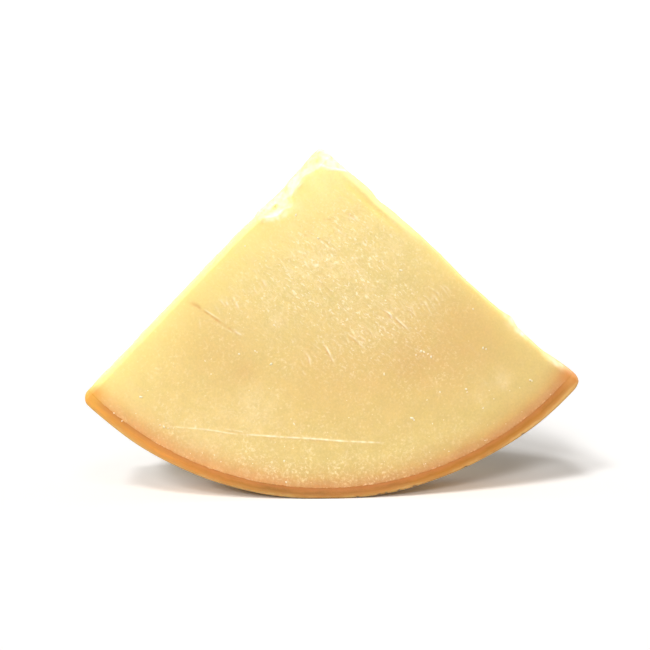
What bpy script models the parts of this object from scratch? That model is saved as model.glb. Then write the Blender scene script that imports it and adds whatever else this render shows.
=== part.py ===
"""A quarter-wheel slab of hard grating cheese that stands on its curved rind.

Metres, +Z up, the wide cut face towards -Y. A cube is cut into a graded grid, and each of its
corners is then placed on the wedge: one direction of the grid runs from the tip to the rind, one
from the left arm to the right arm, and one from the front face to the back face.
"""

import math

import bmesh
import bpy
import numpy as np
from mathutils import Vector, noise

MM = 0.001

# Outline, in millimetres on the front face. The tip is where the two cut arms meet.
TIP = (-3.4, 209.3)
RIND_CENTRE = (-0.6, 199.6)
RIND_RADIUS = 199.6
LEFT_ARM = math.radians(-43.8)
RIGHT_ARM = math.radians(47.9)
THICKNESS = 50.0
FOOT_SAGITTA = 0.5

# Rounded edges and corners.
TIP_ROUND = 3.2
CORNER_ROUND = 6.0
FACE_EDGE_ROUND = 3.8
RIND_EDGE_ROUND = 2.4

# Rind and face relief.
RIND_THICKNESS = 7.2
RIND_STEP = 0.3
FACE_WAVE = 0.3
SIDE_CRAG = 0.55
RIND_WAVE = 0.25
# How far the rind swells out of true: degrees to the right of straight down, millimetres.
RIND_SWELL = ((0, 0.0), (30, 0.2), (38, 0.8), (44, 1.3), (50, 1.3))

# Bumps of the two arms: distance from the tip, then how far the edge stands out.
LEFT_EDGE = ((0, 0.5), (11, 0.3), (19, -0.8), (27, -0.6), (34, -1.7), (43, -1.0), (52, 0.0),
             (59, -1.1), (68, 0.0), (205, 0.0))
RIGHT_EDGE = ((0, 0.3), (12, -0.4), (21, 0.0), (38, 0.6), (46, -1.0), (56, 0.2), (73, 0.4),
              (82, 0.8), (99, 0.1), (116, -0.6), (140, -0.3), (147, 0.2), (152, 1.8), (157, -0.6),
              (180, -0.9), (189, 0.9), (198, 2.1), (208, 1.9))

# Flaked strips along an arm: distance from the tip, then how wide the strip is there. The chip
# runs down the left arm from the tip, the corner flake down the right arm to the rind, and the
# back flake is on the back face, along the right arm.
CHIP_WIDTH = ((0, 10.0), (8, 9.0), (20, 4.6), (33, 6.8), (40, 12.0), (49, 11.2), (56, 0.0))
CHIP_DEPTH = 5.5
CHIP_CRAG = 1.6
CORNER_FLAKE_WIDTH = ((150, 0.0), (157, 2.6), (174, 2.6), (185, 3.6), (194, 4.4), (201, 3.0),
                      (207, 0.0))
CORNER_FLAKE_DEPTH = 3.4
CORNER_FLAKE_CRAG = 0.8
BACK_FLAKE_WIDTH = ((58, 0.0), (66, 7.5), (78, 9.5), (90, 5.0), (97, 0.0))
BACK_FLAKE_DEPTH = 3.6
BACK_FLAKE_CRAG = 0.9
FULL_WIDTH = 9.0  # a strip this wide reaches its full depth
STEEP_SHARE = 0.1  # of the depth is in the steep start of a strip
STEEP_END = 0.12
PIT = (44.0, 5.1, 2.2, 1.8)  # along the left arm, in from it, radius, depth

# The step below the broken tip falls to the right. The right arm has a rolled lip beside a groove.
TIP_STEP_DEPTH = 1.8
TIP_STEP_DROP = 11.4
TIP_STEP_FALL = 0.22
LIP_HEIGHT = 0.6
LIP_IN = 2.6
GROOVE_IN = 6.8
GROOVE_DEPTH = 0.5
SECOND_GROOVE_IN = 12.4
SECOND_GROOVE_DEPTH = 0.25

# Grid: rows from the tip, rows in from the rind, columns in from an arm, cuts in the depth.
RIM_ZONE = 20.0
RIM_SHARE = 0.25
EDGE_ZONE = 14.0
EDGE_SHARE = 0.3
RIM_ROWS = (0.32, 1.2, 2.4, 4.6, 6.8, 7.5, 9.5, 13.0, 16.5)
EDGE_COLUMNS = (0.5, 1.9, 3.8, 6.0, 8.5, 11.0)
DEPTH_CUTS = 10
COLUMN_LEVELS = ((0.0, 4), (38.0, 8), (72.0, 16), (128.0, 32))

HALF_ANGLE = (RIGHT_ARM - LEFT_ARM) / 2
MID_ANGLE = (RIGHT_ARM + LEFT_ARM) / 2
MEAN_LENGTH = 200.0


def smooth(low, high, value):
    t = np.clip((value - low) / (high - low), 0.0, 1.0)
    return t * t * (3 - 2 * t)


def table(pairs, value):
    """Straight lines between the pairs, softened by averaging three nearby readings."""
    at, height = zip(*pairs)
    return (np.interp(value - 2, at, height) + np.interp(value, at, height)
            + np.interp(value + 2, at, height)) / 3


def lumps(points, scale, seed):
    """Smooth noise in about -1 to 1 at each point, with lumps about one scale wide."""
    offset = Vector((7.3 * seed, -3.1 * seed, 11.7 * seed))
    return np.array([noise.noise(Vector(p) / scale + offset) for p in points]) * 1.6


def crags(points, scale, seed):
    """Broken facets: the distance to the nearest of many scattered points."""
    offset = Vector((5.9 * seed, 2.3 * seed, -8.1 * seed))
    return np.array([noise.voronoi(Vector(p) / scale + offset)[0][0] for p in points]) - 0.5


def tip_length(angle):
    """How far the rounded tip lies from the point where the arms meet."""
    centre = TIP_ROUND / math.sin(HALF_ANGLE)
    off = np.sin(angle - MID_ANGLE) * centre
    return np.cos(angle - MID_ANGLE) * centre - np.sqrt(np.maximum(TIP_ROUND**2 - off**2, 0.0))


def rind_length(angle):
    """How far the outside of the rind lies from the point where the arms meet."""
    ax, az = TIP[0] - RIND_CENTRE[0], TIP[1] - RIND_CENTRE[1]
    along = ax * np.sin(angle) - az * np.cos(angle)
    return -along + np.sqrt(along**2 - (ax**2 + az**2 - RIND_RADIUS**2))


def row_length(row, start, end):
    """Rows keep their distance from the rind in the rim zone, and share the rest evenly."""
    rim = 1 - RIM_SHARE
    inner = start + row / rim * (end - RIM_ZONE - start)
    return np.where(row < rim, inner, end - RIM_ZONE * (1 - row) / RIM_SHARE)


def row_share(length, from_rind=False):
    if from_rind:
        return 1 - RIM_SHARE * length / RIM_ZONE
    start = 0.6 * TIP_ROUND
    return (length - start) / (MEAN_LENGTH - RIM_ZONE - start) * (1 - RIM_SHARE)


def placed(row, column, depth):
    """Grid values (0 to 1 from the tip, -1 to 1 across, -1 to 1 front to back) to millimetres."""
    share = 1 - np.abs(column)
    mean = row_length(row, 0.6 * TIP_ROUND, MEAN_LENGTH)
    half = mean * HALF_ANGLE
    near = np.minimum(EDGE_ZONE, 0.45 * half)
    inward = np.where(share < EDGE_SHARE, share / EDGE_SHARE * near,
                      near + (share - EDGE_SHARE) / (1 - EDGE_SHARE) * (half - near))
    angle = np.where(column < 0, LEFT_ARM + inward / mean, RIGHT_ARM - inward / mean)
    length = row_length(row, tip_length(angle), rind_length(angle))
    x = TIP[0] + length * np.sin(angle)
    z = TIP[1] - length * np.cos(angle)

    left = length * np.sin(angle - LEFT_ARM)
    right = length * np.sin(RIGHT_ARM - angle)
    out_x, out_z = x - RIND_CENTRE[0], z - RIND_CENTRE[1]
    radius = np.hypot(out_x, out_z)
    out_x, out_z = out_x / radius, out_z / radius
    rind = RIND_RADIUS - radius
    edge = np.minimum(np.minimum(left, right), rind)
    by_left, by_right = TIP_ROUND - left, TIP_ROUND - right
    in_tip = (by_left > 0) & (by_right > 0)
    edge = np.maximum(np.where(in_tip, TIP_ROUND - np.hypot(by_left, by_right), edge), 0.0)

    # The two lower corners, drawn in from a square corner to a quarter circle.
    for arm, inward_x, inward_z in ((left, math.cos(LEFT_ARM), math.sin(LEFT_ARM)),
                                    (right, -math.cos(RIGHT_ARM), -math.sin(RIGHT_ARM))):
        a = np.clip(1 - arm / CORNER_ROUND, 0, 1)
        b = np.clip(1 - rind / CORNER_ROUND, 0, 1)
        pull = CORNER_ROUND * (1 - np.maximum(a, b) / np.maximum(np.hypot(a, b), 1e-9))
        pull = np.where((a > 0) & (b > 0), pull, 0.0)
        x += pull * (a * inward_x - b * out_x)
        z += pull * (a * inward_z - b * out_z)

    # Rounded edges of the two faces.
    round_off = RIND_EDGE_ROUND + (FACE_EDGE_ROUND - RIND_EDGE_ROUND) * smooth(1.0, 9.0, rind)
    fall = np.clip(edge / round_off, 0, 1)
    y = depth * (THICKNESS / 2 - round_off + round_off * np.sqrt(1 - (1 - fall) ** 2))
    return x, y, z, length, left, right, rind


def strip(widths, deepest, crag, length, inward, small, facet):
    """How deep a flaked strip along an arm is: deepest at the arm, with a short steep start."""
    width = table(widths, length) * (1 + 0.15 * small)
    into = np.clip((width - inward) / np.maximum(width, 1.0), 0, 1) * (width > 0.3)
    slope = (1 - STEEP_SHARE) * into + STEEP_SHARE * smooth(0.0, STEEP_END, into)
    return deepest * np.minimum(width / FULL_WIDTH, 1.0) * slope + crag * facet * smooth(0.0, 0.3, into)


def lip_and_groove(length, right):
    """The rolled lip beside the right arm, the groove next to it and a fainter second groove."""
    along = smooth(12.0, 38.0, length) * (1 - smooth(46.0, 78.0, length))
    groove = GROOVE_DEPTH * np.exp(-((right - GROOVE_IN) / 2.0) ** 2) * along
    second = SECOND_GROOVE_DEPTH * np.exp(-((right - SECOND_GROOVE_IN) / 1.6) ** 2) \
        * smooth(20.0, 26.0, length) * (1 - smooth(34.0, 42.0, length))
    lip = LIP_HEIGHT * np.exp(-((right - LIP_IN) / 1.8) ** 2)
    return groove + second - lip * smooth(14.0, 24.0, length) * (1 - smooth(60.0, 86.0, length))


def flaked(points, x, y, z, length, left, right, rind, depth):
    """Adds the bumps, flakes, steps and waves of the real cuts to the plain wedge."""
    front = smooth(THICKNESS / 2 - 4.5, THICKNESS / 2 - 1.5, -y)
    back = smooth(THICKNESS / 2 - 4.5, THICKNESS / 2 - 1.5, y)
    broad = lumps(points, 45.0, 1)
    middle = lumps(points, 14.0, 2)
    small = lumps(points, 6.0, 3)
    facet = crags(points, 7.5, 4)

    # Side faces: the saw-and-split cut leaves low crags, and the edges bump in and out.
    behind = smooth(4.0, 20.0, y + THICKNESS / 2)
    rough = SIDE_CRAG * (0.7 * middle + 0.4 * small + 1.0 * facet) * (0.4 + 0.6 * behind) \
        - 0.5 * SIDE_CRAG * behind
    bumps = table(LEFT_EDGE, length)
    off_left = (bumps * (1 - behind) + 0.8 * np.minimum(bumps, 0) * behind + rough) \
        * np.exp(-(left / 5.0) ** 2) * smooth(0.0, 6.0, rind)
    bumps = table(RIGHT_EDGE, length)
    off_right = (bumps * (1 - 0.7 * behind) + 0.5 * np.minimum(bumps, 0) * behind
                 + rough * smooth(0.0, 6.0, rind)) * np.exp(-(right / 5.0) ** 2)
    near_tip = smooth(2.0, 9.0, length)
    x = x - off_left * math.cos(LEFT_ARM) * near_tip + off_right * math.cos(RIGHT_ARM) * near_tip
    z = z - off_left * math.sin(LEFT_ARM) * near_tip + off_right * math.sin(RIGHT_ARM) * near_tip

    # Rind: a little wavy on the outside, and a low step where it meets the paste.
    angle = np.arctan2(x - RIND_CENTRE[0], RIND_CENTRE[1] - z)
    wave = RIND_WAVE * lumps(np.stack([angle * RIND_RADIUS, y, 0 * y], 1), 26.0, 5) \
        * smooth(12.0, 30.0, np.abs(angle) * RIND_RADIUS)
    wave = (wave + table(RIND_SWELL, np.degrees(angle))) * np.exp(-(rind / 6.0) ** 2)
    x = x + wave * np.sin(angle)
    z = z - wave * np.cos(angle)
    band = 1 - smooth(RIND_THICKNESS - 0.5, RIND_THICKNESS + 0.5, rind)
    push = RIND_STEP * band + FACE_WAVE * (0.6 * broad + 0.3 * middle)

    # Flaked strips of the front face. They fade out towards the middle of the thickness.
    chip = strip(CHIP_WIDTH, CHIP_DEPTH, CHIP_CRAG, length, left, small, facet)
    away = np.hypot(length - PIT[0], left - PIT[1])
    chip += PIT[3] * (1 - smooth(0.0, PIT[2], away))
    corner = strip(CORNER_FLAKE_WIDTH, CORNER_FLAKE_DEPTH, CORNER_FLAKE_CRAG, length, right, small,
                   facet)
    across = x - TIP[0]
    over = z - (TIP[1] - TIP_STEP_DROP - TIP_STEP_FALL * across)
    step = TIP_STEP_DEPTH * smooth(-0.3, 0.4, over) * smooth(-4.0, 1.0, across)
    y = y + (chip + corner + step) * np.clip(1 - (depth + 1) / 1.1, 0, 1)
    y = y + (push + lip_and_groove(length, right)) * front

    behind_flake = strip(BACK_FLAKE_WIDTH, BACK_FLAKE_DEPTH, BACK_FLAKE_CRAG, length, right, small,
                         facet)
    y = y - behind_flake * np.clip(1 - (1 - depth) / 1.1, 0, 1) - push * back

    # The small flat foot that the slab rests on.
    return x, y, np.maximum(z, RIND_CENTRE[1] - RIND_RADIUS + FOOT_SAGITTA)


def cut(bm, axis, value, from_row=None):
    """Cuts every face that the plane crosses, or only those further from the tip than a row."""
    faces = [f for f in bm.faces if from_row is None or f.calc_center_median().x > from_row]
    edges = {e for f in faces for e in f.edges}
    verts = {v for f in faces for v in f.verts}
    point, normal = Vector((0, 0, 0)), Vector((0, 0, 0))
    point[axis] = value
    normal[axis] = 1
    bmesh.ops.bisect_plane(bm, geom=[*verts, *edges, *faces], dist=1e-7,
                           plane_co=point, plane_no=normal)


def grid_cube():
    """A cube with its grid lines: X is the row (-1 at the tip), Y the column, Z the depth."""
    bm = bmesh.new()
    bmesh.ops.create_cube(bm, size=2.0)
    lengths, at = [], 4.0
    while at < MEAN_LENGTH - RIM_ZONE - 2:
        lengths.append(at)
        at += 2.9 if at < 58 else 4.2 if at < 98 else 8.5
    rows = [row_share(v) for v in lengths] + [1 - RIM_SHARE]
    rows += [row_share(v, from_rind=True) for v in RIM_ROWS]
    for row in rows:
        cut(bm, 0, 2 * row - 1)
    for i in range(1, DEPTH_CUTS):
        cut(bm, 2, 2 * i / DEPTH_CUTS - 1)
    for side in (-1, 1):
        cut(bm, 1, side * (1 - EDGE_SHARE))
        for inward in EDGE_COLUMNS:
            cut(bm, 1, side * (1 - EDGE_SHARE * inward / EDGE_ZONE))
    done = 1
    for start, count in COLUMN_LEVELS:
        from_row = None
        if start:
            from_row = 2 * min(rows, key=lambda row: abs(row - row_share(start))) - 1
        for i in range(1, count):
            if i * done % count or done == 1:
                cut(bm, 1, (1 - EDGE_SHARE) * (2 * i / count - 1), from_row)
        done = count
    return bm


def cheese_wedge(collection):
    bm = grid_cube()
    bm.verts.ensure_lookup_table()
    grid = np.array([v.co[:] for v in bm.verts])
    row, column, depth = (grid[:, 0] + 1) / 2, grid[:, 1], grid[:, 2]
    x, y, z, length, left, right, rind = placed(row, column, depth)
    points = np.stack([x, y, z], 1)
    x, y, z = flaked(points, x, y, z, length, left, right, rind, depth)
    x = x - (x.min() + x.max()) / 2
    y = y - (y.min() + y.max()) / 2
    z = z - z.min()
    for vert, co in zip(bm.verts, np.stack([x, y, z], 1)):
        vert.co = Vector(co) * MM
    # Row, column and depth make a left-handed set, so the cube comes out with its faces inwards.
    bmesh.ops.reverse_faces(bm, faces=bm.faces)

    mesh = bpy.data.meshes.new("cheese_wedge")
    bm.to_mesh(mesh)
    bm.free()
    mesh.shade_smooth()
    wedge = bpy.data.objects.new("cheese_wedge", mesh)
    collection.objects.link(wedge)
    return wedge


def paste_material():
    """Pale golden hard cheese paste, slightly waxy."""
    material = bpy.data.materials.new("hard_cheese_paste")
    material.use_nodes = True
    shader = material.node_tree.nodes["Principled BSDF"]
    shader.inputs["Base Color"].default_value = (0.87, 0.63, 0.27, 1)
    shader.inputs["Roughness"].default_value = 0.5
    return material


def main():
    for obj in list(bpy.data.objects):
        bpy.data.objects.remove(obj, do_unlink=True)
    collection = bpy.data.collections.new("hard_cheese_wedge")
    bpy.context.scene.collection.children.link(collection)
    wedge = cheese_wedge(collection)
    wedge.data.materials.append(paste_material())


main()
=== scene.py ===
"""Looks of a quarter-wheel slab of hard grating cheese that stands on its curved rind.

The slab is one closed mesh: a fine fan of faces for the front cut, a belt of loops round the sides
and the rind, and a coarser fan for the back. Sizes are in millimetres until the mesh is written.
"""

import math

import bmesh
import bpy
import numpy as np
from mathutils import Matrix, Vector, noise
from mathutils.bvhtree import BVHTree


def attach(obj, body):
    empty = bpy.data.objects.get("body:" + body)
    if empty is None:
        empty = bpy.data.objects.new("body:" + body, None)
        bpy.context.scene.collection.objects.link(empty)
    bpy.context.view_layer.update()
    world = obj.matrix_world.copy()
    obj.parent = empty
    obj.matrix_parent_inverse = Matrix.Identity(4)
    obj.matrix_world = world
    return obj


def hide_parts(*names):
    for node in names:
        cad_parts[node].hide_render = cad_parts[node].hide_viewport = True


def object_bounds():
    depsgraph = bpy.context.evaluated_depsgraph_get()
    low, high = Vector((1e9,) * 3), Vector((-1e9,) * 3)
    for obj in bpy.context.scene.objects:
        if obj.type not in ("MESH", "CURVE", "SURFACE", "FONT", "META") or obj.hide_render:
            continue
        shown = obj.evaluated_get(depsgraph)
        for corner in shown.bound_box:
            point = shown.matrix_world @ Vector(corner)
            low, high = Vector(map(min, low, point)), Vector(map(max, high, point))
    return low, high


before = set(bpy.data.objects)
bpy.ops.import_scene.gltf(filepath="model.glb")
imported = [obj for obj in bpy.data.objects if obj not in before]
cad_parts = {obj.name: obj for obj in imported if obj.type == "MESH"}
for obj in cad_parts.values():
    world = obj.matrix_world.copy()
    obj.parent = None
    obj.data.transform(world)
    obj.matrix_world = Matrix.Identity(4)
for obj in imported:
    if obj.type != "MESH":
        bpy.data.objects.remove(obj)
CAD_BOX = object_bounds()
MM = 0.001
RNG = np.random.default_rng(11)

# ---------------------------------------------------------------- the plain wedge
TIP = (-3.4, 209.3)
RIND_CENTRE = (-0.6, 199.6)
RIND_RADIUS = 199.6
LEFT_ARM = math.radians(-43.8)
RIGHT_ARM = math.radians(47.9)
THICKNESS = 50.0
FOOT_SAGITTA = 0.5

# Rounded edges and corners.
TIP_ROUND = 3.2
CORNER_ROUND = 6.0
FACE_EDGE_ROUND = 3.8
RIND_EDGE_ROUND = 2.4

# Rind and face relief.
RIND_THICKNESS = 7.2
RIND_STEP = 0.3
FACE_WAVE = 0.3
SIDE_CRAG = 0.55
RIND_WAVE = 0.25
# How far the rind swells out of true: degrees to the right of straight down, millimetres.
RIND_SWELL = ((0, 0.0), (30, 0.2), (38, 0.8), (44, 1.3), (50, 1.3))

# Bumps of the two arms: distance from the tip, then how far the edge stands out.
LEFT_EDGE = ((0, 0.5), (11, 0.3), (19, -0.8), (27, -0.6), (34, -1.7), (43, -1.0), (52, 0.0),
             (59, -1.1), (68, 0.0), (205, 0.0))
RIGHT_EDGE = ((0, 0.3), (12, -0.4), (21, 0.0), (38, 0.6), (46, -1.0), (56, 0.2), (73, 0.4),
              (82, 0.8), (99, 0.1), (116, -0.6), (140, -0.3), (147, 0.2), (152, 1.8), (157, -0.6),
              (180, -0.9), (189, 0.9), (198, 2.1), (208, 1.9))

# Flaked strips along an arm: distance from the tip, then how wide the strip is there. The chip
# runs down the left arm from the tip, the corner flake down the right arm to the rind, and the
# back flake is on the back face, along the right arm.
CHIP_WIDTH = ((0, 10.0), (8, 9.0), (20, 4.6), (33, 6.8), (40, 12.0), (49, 11.2), (56, 0.0))
CHIP_DEPTH = 5.5
CHIP_CRAG = 1.6
CORNER_FLAKE_WIDTH = ((150, 0.0), (157, 2.6), (174, 2.6), (185, 3.6), (194, 4.4), (201, 3.0),
                      (207, 0.0))
CORNER_FLAKE_DEPTH = 3.4
CORNER_FLAKE_CRAG = 0.8
BACK_FLAKE_WIDTH = ((58, 0.0), (66, 7.5), (78, 9.5), (90, 5.0), (97, 0.0))
BACK_FLAKE_DEPTH = 3.6
BACK_FLAKE_CRAG = 0.9
FULL_WIDTH = 9.0  # a strip this wide reaches its full depth
STEEP_SHARE = 0.1  # of the depth is in the steep start of a strip
STEEP_END = 0.12
PIT = (44.0, 5.1, 2.2, 1.8)  # along the left arm, in from it, radius, depth
CHIP_GLOW = 0.55  # how far the chip's paler tone spreads into the face
CHIP_GLOW_REACH = 4.5

# The step below the broken tip falls to the right. The right arm has a rolled lip beside a groove.
TIP_STEP_DEPTH = 1.8
TIP_STEP_DROP = 11.4
TIP_STEP_FALL = 0.22
LIP_HEIGHT = 0.6
LIP_IN = 2.6
GROOVE_IN = 6.8
GROOVE_DEPTH = 0.5
SECOND_GROOVE_IN = 12.4
SECOND_GROOVE_DEPTH = 0.25
LIP_WIDTH = 1.8
GROOVE_WIDTH = 2.0
SECOND_GROOVE_WIDTH = 1.6
# Where each begins and is full, and where it begins to fade and ends: distance from the tip.
LIP_RUN = (14.0, 24.0, 60.0, 86.0)
GROOVE_RUN = (12.0, 38.0, 46.0, 78.0)
SECOND_GROOVE_RUN = (20.0, 26.0, 34.0, 42.0)

FACE_FADE = (4.5, 1.5)  # how far below a face its relief begins, and is full
FLAKE_FADE = 1.1  # of half the thickness, from a face to where its flakes end
EDGE_REACH = 5.0  # how far in from an arm its bumps and crags go
FIRST_RING = 0.6 * TIP_ROUND
RIM_ZONE = 20.0
RIM_SHARE = 0.25
EDGE_ZONE = 14.0
EDGE_SHARE = 0.3
HALF_ANGLE = (RIGHT_ARM - LEFT_ARM) / 2
MID_ANGLE = (RIGHT_ARM + LEFT_ARM) / 2
MEAN_LENGTH = 200.0

# ---------------------------------------------------------------- the photo's camera
PHOTO = 650
CAMERA_AZIMUTH = math.radians(-3.0)
CAMERA_DISTANCE = 800.0
CAMERA_HEIGHT = 175.0
CAMERA_AIM = 102.36
FOCAL_PIXELS = 1323.2
SENSOR = 36.0


def camera_frame():
    """Where the photo's camera stands, and its forward, right and up directions."""
    tilt = math.atan2(CAMERA_HEIGHT - CAMERA_AIM, CAMERA_DISTANCE)
    back = Vector((math.sin(CAMERA_AZIMUTH) * math.cos(tilt),
                   -math.cos(CAMERA_AZIMUTH) * math.cos(tilt), math.sin(tilt)))
    place = Vector((0, 0, CAMERA_AIM)) + back * math.hypot(
        CAMERA_DISTANCE, CAMERA_HEIGHT - CAMERA_AIM)
    right = (-back).cross(Vector((0, 0, 1))).normalized()
    return place, -back, right, right.cross(-back)


def on_face(px, py):
    """The point (x, z) of the front cut that a pixel of the photo shows, in millimetres."""
    place, forward, right, up = camera_frame()
    ray = (forward + right * ((px - PHOTO / 2) / FOCAL_PIXELS)
           + up * ((PHOTO / 2 - py) / FOCAL_PIXELS))
    hit = place + ray * ((-THICKNESS / 2 - place.y) / ray.y)
    return np.array([hit.x, hit.z])


# ---------------------------------------------------------------- shape helpers
def smooth(low, high, value):
    t = np.clip((value - low) / (high - low), 0.0, 1.0)
    return t * t * (3 - 2 * t)


def ridge(across, width):
    return np.exp(-(across / width) ** 2)


def run_of(run, length):
    """How strong something is that begins, stays full and fades along an arm."""
    return smooth(run[0], run[1], length) * (1 - smooth(run[2], run[3], length))


def near_face(outward):
    """1 at a face and 0 deeper in, from how far a point is towards it from the middle."""
    begins, full = FACE_FADE
    return smooth(THICKNESS / 2 - begins, THICKNESS / 2 - full, outward)


def table(pairs, value):
    """Straight lines between the pairs, softened by averaging three nearby readings."""
    at, height = zip(*pairs)
    return (np.interp(value - 2, at, height) + np.interp(value, at, height)
            + np.interp(value + 2, at, height)) / 3


def lumps(points, scale, seed):
    """Smooth noise in about -1 to 1 at each point, with lumps about one scale wide."""
    offset = Vector((7.3 * seed, -3.1 * seed, 11.7 * seed))
    return np.array([noise.noise(Vector(p) / scale + offset) for p in points]) * 1.6


def crags(points, scale, seed):
    """Broken facets: the distance to the nearest of many scattered points."""
    offset = Vector((5.9 * seed, 2.3 * seed, -8.1 * seed))
    return np.array([noise.voronoi(Vector(p) / scale + offset)[0][0] for p in points]) - 0.5


def tip_length(angle):
    """How far the rounded tip lies from the point where the arms meet."""
    centre = TIP_ROUND / math.sin(HALF_ANGLE)
    off = np.sin(angle - MID_ANGLE) * centre
    return np.cos(angle - MID_ANGLE) * centre - np.sqrt(np.maximum(TIP_ROUND**2 - off**2, 0.0))


def rind_length(angle):
    """How far the outside of the rind lies from the point where the arms meet."""
    ax, az = TIP[0] - RIND_CENTRE[0], TIP[1] - RIND_CENTRE[1]
    along = ax * np.sin(angle) - az * np.cos(angle)
    return -along + np.sqrt(along**2 - (ax**2 + az**2 - RIND_RADIUS**2))


def row_length(row, start, end):
    """Rows keep their distance from the rind in the rim zone, and share the rest evenly."""
    rim = 1 - RIM_SHARE
    inner = start + row / rim * (end - RIM_ZONE - start)
    return np.where(row < rim, inner, end - RIM_ZONE * (1 - row) / RIM_SHARE)


def placed(row, column, depth):
    """Grid values (0 to 1 from the tip, -1 to 1 across, -1 to 1 front to back) to millimetres."""
    share = 1 - np.abs(column)
    mean = row_length(row, FIRST_RING, MEAN_LENGTH)
    half = mean * HALF_ANGLE
    near = np.minimum(EDGE_ZONE, 0.45 * half)
    inward = np.where(share < EDGE_SHARE, share / EDGE_SHARE * near,
                      near + (share - EDGE_SHARE) / (1 - EDGE_SHARE) * (half - near))
    angle = np.where(column < 0, LEFT_ARM + inward / mean, RIGHT_ARM - inward / mean)
    length = row_length(row, tip_length(angle), rind_length(angle))
    x = TIP[0] + length * np.sin(angle)
    z = TIP[1] - length * np.cos(angle)

    left = length * np.sin(angle - LEFT_ARM)
    right = length * np.sin(RIGHT_ARM - angle)
    out_x, out_z = x - RIND_CENTRE[0], z - RIND_CENTRE[1]
    radius = np.hypot(out_x, out_z)
    out_x, out_z = out_x / radius, out_z / radius
    rind = RIND_RADIUS - radius
    edge = np.minimum(np.minimum(left, right), rind)
    by_left, by_right = TIP_ROUND - left, TIP_ROUND - right
    in_tip = (by_left > 0) & (by_right > 0)
    edge = np.maximum(np.where(in_tip, TIP_ROUND - np.hypot(by_left, by_right), edge), 0.0)

    # The two lower corners, drawn in from a square corner to a quarter circle.
    for arm, inward_x, inward_z in ((left, math.cos(LEFT_ARM), math.sin(LEFT_ARM)),
                                    (right, -math.cos(RIGHT_ARM), -math.sin(RIGHT_ARM))):
        a = np.clip(1 - arm / CORNER_ROUND, 0, 1)
        b = np.clip(1 - rind / CORNER_ROUND, 0, 1)
        pull = CORNER_ROUND * (1 - np.maximum(a, b) / np.maximum(np.hypot(a, b), 1e-9))
        pull = np.where((a > 0) & (b > 0), pull, 0.0)
        x += pull * (a * inward_x - b * out_x)
        z += pull * (a * inward_z - b * out_z)

    # Rounded edges of the two faces.
    round_off = RIND_EDGE_ROUND + (FACE_EDGE_ROUND - RIND_EDGE_ROUND) * smooth(1.0, 9.0, rind)
    fall = np.clip(edge / round_off, 0, 1)
    y = depth * (THICKNESS / 2 - round_off + round_off * np.sqrt(1 - (1 - fall) ** 2))
    return x, y, z, length, left, right, rind


def strip(widths, deepest, crag, length, inward, small, facet):
    """How deep a flaked strip along an arm is: deepest at the arm, with a short steep start."""
    width = table(widths, length) * (1 + 0.15 * small)
    into = np.clip((width - inward) / np.maximum(width, 1.0), 0, 1) * (width > 0.3)
    slope = (1 - STEEP_SHARE) * into + STEEP_SHARE * smooth(0.0, STEEP_END, into)
    return deepest * np.minimum(width / FULL_WIDTH, 1.0) * slope + crag * facet * smooth(0.0, 0.3, into)


def lip_and_groove(length, right):
    """The rolled lip beside the right arm, the groove next to it and a fainter second groove."""
    total = np.zeros_like(length)
    for depth, inward, width, run in (
            (GROOVE_DEPTH, GROOVE_IN, GROOVE_WIDTH, GROOVE_RUN),
            (SECOND_GROOVE_DEPTH, SECOND_GROOVE_IN, SECOND_GROOVE_WIDTH, SECOND_GROOVE_RUN),
            (-LIP_HEIGHT, LIP_IN, LIP_WIDTH, LIP_RUN)):
        total += depth * ridge(right - inward, width) * run_of(run, length)
    return total


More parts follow.
